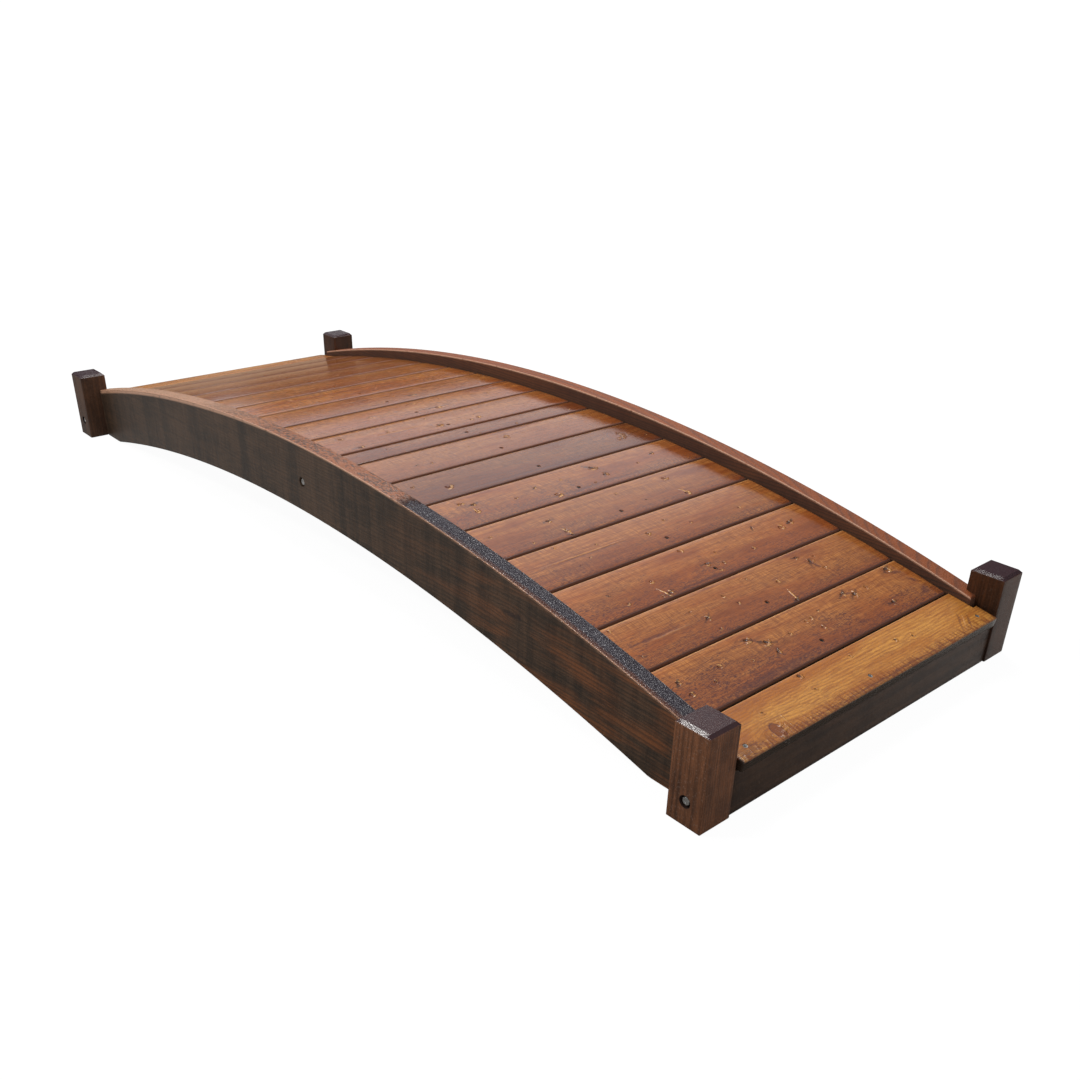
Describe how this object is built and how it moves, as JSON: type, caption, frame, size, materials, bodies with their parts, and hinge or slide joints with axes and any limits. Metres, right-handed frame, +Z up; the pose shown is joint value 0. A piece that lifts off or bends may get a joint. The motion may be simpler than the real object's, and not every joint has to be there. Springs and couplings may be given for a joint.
{
  "type": "arched garden bridge",
  "caption": "Low arched timber garden bridge without handrails: cross boards between two curved side beams that stand proud as curbs, with a short post at each corner.",
  "frame": {"origin": "on the ground, in the middle of the bridge", "axes": "+X along the bridge, +Y across it, +Z up"},
  "size_m": [2.47, 0.912, 0.2778],
  "materials": {
    "deck_timber": "red-brown stain, glossy varnish",
    "end_board_timber": "golden-brown stain, glossy varnish",
    "beam_timber": "dark grey-brown stain, satin, worn along the edges",
    "post_timber": "dark brown stain, satin",
    "fascia_timber": "very dark brown stain, satin",
    "frame_timber": "plain stained softwood",
    "zinc_steel": "zinc plated",
    "dark_steel": "dark coated"
  },
  "bodies": {
    "root": {"centre_bearer": "frame_timber", "cross_block_back": "frame_timber", "cross_block_front": "frame_timber", "deck_board_01": "deck_timber", "deck_board_02": "deck_timber", "deck_board_03": "deck_timber", "deck_board_04": "deck_timber", "deck_board_05": "deck_timber", "deck_board_06": "deck_timber", "deck_board_07": "deck_timber", "deck_board_08": "deck_timber", "deck_board_09": "deck_timber", "deck_board_10": "deck_timber", "deck_board_11": "deck_timber", "deck_board_12": "deck_timber", "deck_board_13": "deck_timber", "deck_board_14": "deck_timber", "deck_board_15": "deck_timber", "deck_board_16": "deck_timber", "deck_board_17": "deck_timber", "deck_board_18": "deck_timber", "end_board_left": "end_board_timber", "end_board_right": "end_board_timber", "end_fascia_left": "fascia_timber", "end_fascia_right": "fascia_timber", "post_back_left": "post_timber", "post_back_right": "post_timber", "post_front_left": "post_timber", "post_front_right": "post_timber", "side_ledger_back": "frame_timber", "side_ledger_front": "frame_timber", "stringer_back": "beam_timber", "stringer_front": "beam_timber"}
  },
  "joints": []
}
